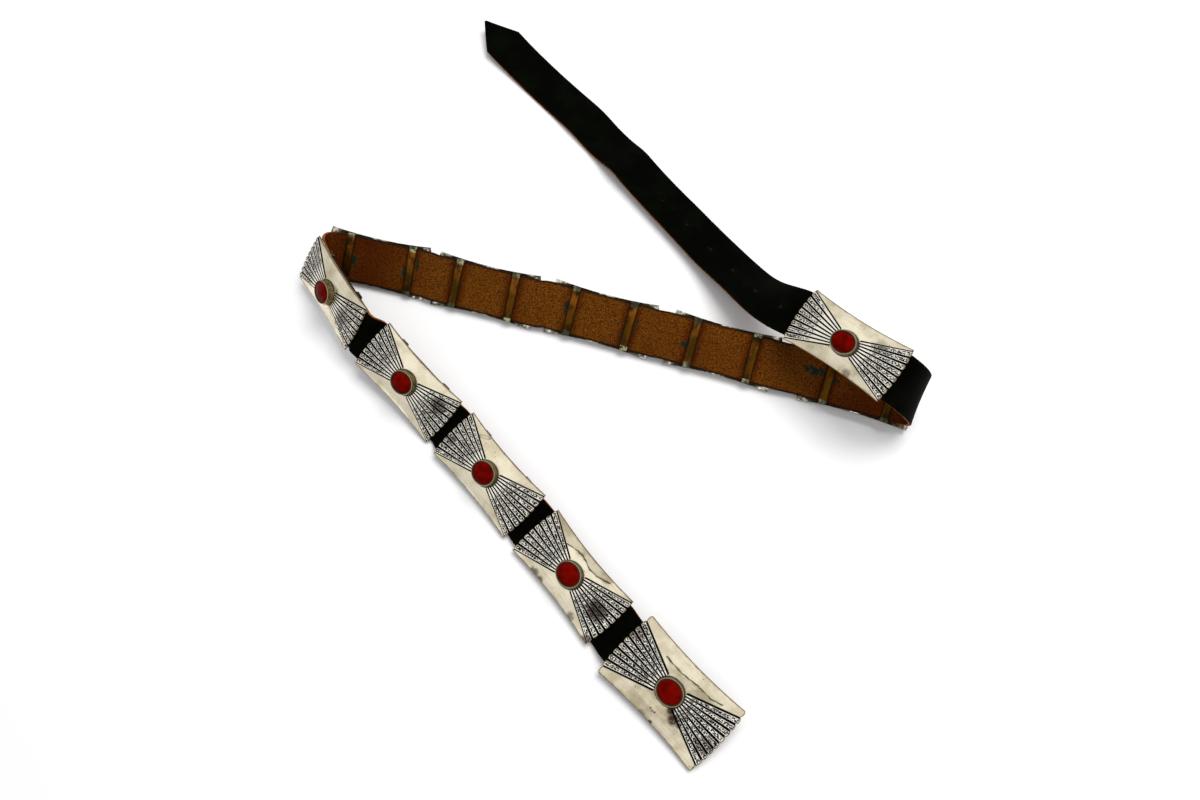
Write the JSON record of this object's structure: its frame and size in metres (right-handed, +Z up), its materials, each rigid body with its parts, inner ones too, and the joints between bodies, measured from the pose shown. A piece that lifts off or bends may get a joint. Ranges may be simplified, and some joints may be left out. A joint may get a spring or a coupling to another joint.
{
  "type": "concho belt",
  "caption": "Leather strap belt laid in a Z, with rectangular silver conchos on copper loops, a matching plate buckle and oval coral cabochons.",
  "frame": {"origin": "middle of the belt's outline as it lies, on the surface that it lies on", "axes": "+Z up, +Y away from the viewer from the buckle end towards the strap's tip, +X to the viewer's right"},
  "size_m": [0.4182, 0.5634, 0.0685],
  "materials": {
    "leather": "smooth black grain outside, brown suede flesh inside, orange-brown raw edges",
    "silver": "worn hand-finished silver with blackened grooves and warm tarnish at the edges",
    "coral": "polished opaque coral red"
  },
  "bodies": {
    "root": {"strap": "leather", "buckle": "silver", "buckle_stone": "coral", "concho_01": "silver", "stone_01": "coral", "concho_02": "silver", "stone_02": "coral", "concho_03": "silver", "stone_03": "coral", "concho_04": "silver", "stone_04": "coral", "concho_05": "silver", "stone_05": "coral", "concho_06": "silver", "stone_06": "coral", "concho_07": "silver", "stone_07": "coral", "concho_08": "silver", "stone_08": "coral", "concho_09": "silver", "stone_09": "coral", "concho_10": "silver", "stone_10": "coral"}
  },
  "joints": []
}
